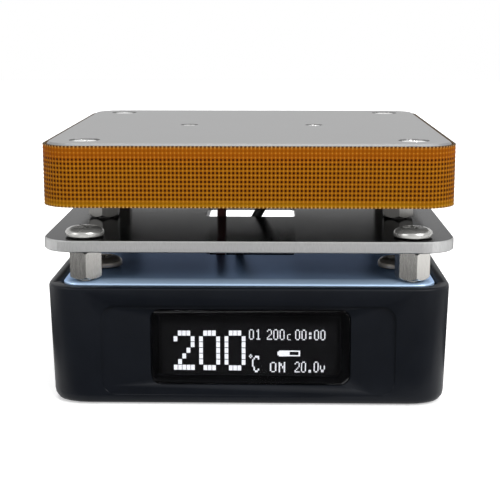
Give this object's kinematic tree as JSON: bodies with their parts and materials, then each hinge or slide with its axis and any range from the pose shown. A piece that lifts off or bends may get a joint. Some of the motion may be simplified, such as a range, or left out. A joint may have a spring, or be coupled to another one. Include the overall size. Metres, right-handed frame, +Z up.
{
  "type": "pcb preheater",
  "caption": "Small square bench hot plate on posts over a heat shield and an electronics base with a display, for warming circuit boards.",
  "frame": {"origin": "middle of the feet's lower faces", "axes": "+Z up, the display faces -Y, +X to the right seen from the front"},
  "size_m": [0.0604, 0.06, 0.0388],
  "materials": {
    "navy_plastic": "satin moulded",
    "blue_grey_panel": "gloss",
    "polished_aluminium": "polished",
    "dark_board": "satin mica laminate",
    "ceramic_fibre": "matt",
    "alumina": "satin",
    "spring_steel": "satin",
    "sensor_glass": "gloss",
    "brushed_aluminium": "brushed",
    "amber_cloth": "plain weave",
    "red_silicone": "satin",
    "black_silicone": "satin",
    "white_sleeve": "satin",
    "smoked_acrylic": "gloss",
    "display_glass": "gloss",
    "circuit_board": "solder mask",
    "socket_steel": "bright",
    "terminal_plastic": "satin",
    "connector_nylon": "satin",
    "chip_plastic": "matt",
    "ferrite": "matt",
    "button_plastic": "satin",
    "screw_steel": "bright",
    "nickel_steel": "nickel plated",
    "black_rubber": "matt"
  },
  "bodies": {
    "preheater": {"base_housing": "navy_plastic", "clamp_screw_left": "screw_steel", "clamp_screw_right": "screw_steel", "control_board": "circuit_board", "display_board": "circuit_board", "display_lens": "smoked_acrylic", "display_panel": "display_glass", "fabric_band": "amber_cloth", "heat_plate": "brushed_aluminium", "heat_shield": "polished_aluminium", "heater_clamp": "spring_steel", "heater_element": "alumina", "heater_lead_black": "black_silicone", "heater_lead_red": "red_silicone", "heater_terminal": "terminal_plastic", "hot_plate_cover": "dark_board", "inductor": "ferrite", "insulation_core": "ceramic_fibre", "microcontroller": "chip_plastic", "panel_screw_front_left": "screw_steel", "panel_screw_front_right": "screw_steel", "panel_screw_rear_left": "screw_steel", "panel_screw_rear_right": "screw_steel", "plate_screw_front_left": "screw_steel", "plate_screw_front_right": "screw_steel", "plate_screw_rear_left": "screw_steel", "plate_screw_rear_right": "screw_steel", "post_front_left": "nickel_steel", "post_front_right": "nickel_steel", "post_rear_left": "nickel_steel", "post_rear_right": "nickel_steel", "post_screw_front_left": "screw_steel", "post_screw_front_right": "screw_steel", "post_screw_rear_left": "screw_steel", "post_screw_rear_right": "screw_steel", "power_socket": "socket_steel", "power_transistor": "chip_plastic", "rubber_foot_front_left": "black_rubber", "rubber_foot_front_right": "black_rubber", "rubber_foot_rear_left": "black_rubber", "rubber_foot_rear_right": "black_rubber", "sensor_connector": "connector_nylon", "sensor_lead": "white_sleeve", "shield_screw_front_left": "screw_steel", "shield_screw_front_right": "screw_steel", "shield_screw_rear_left": "screw_steel", "shield_screw_rear_right": "screw_steel", "standoff_front_left": "nickel_steel", "standoff_front_right": "nickel_steel", "standoff_rear_left": "nickel_steel", "standoff_rear_right": "nickel_steel", "switch_left": "chip_plastic", "switch_right": "chip_plastic", "temperature_sensor": "sensor_glass", "top_panel": "blue_grey_panel"},
    "button_left": {"button_left": "button_plastic", "switch_plunger_left": "connector_nylon"},
    "button_right": {"button_right": "button_plastic", "switch_plunger_right": "connector_nylon"}
  },
  "joints": [
    {"name": "button_left_press", "type": "slide", "parent": "preheater", "child": "button_left", "axis": [0, -1, 0], "range_m": [0, 0.0004], "stiffness_N_per_m": 900, "springref_m": -0.0002},
    {"name": "button_right_press", "type": "slide", "parent": "preheater", "child": "button_right", "axis": [0, -1, 0], "range_m": [0, 0.0004], "stiffness_N_per_m": 900, "springref_m": -0.0002}
  ]
}
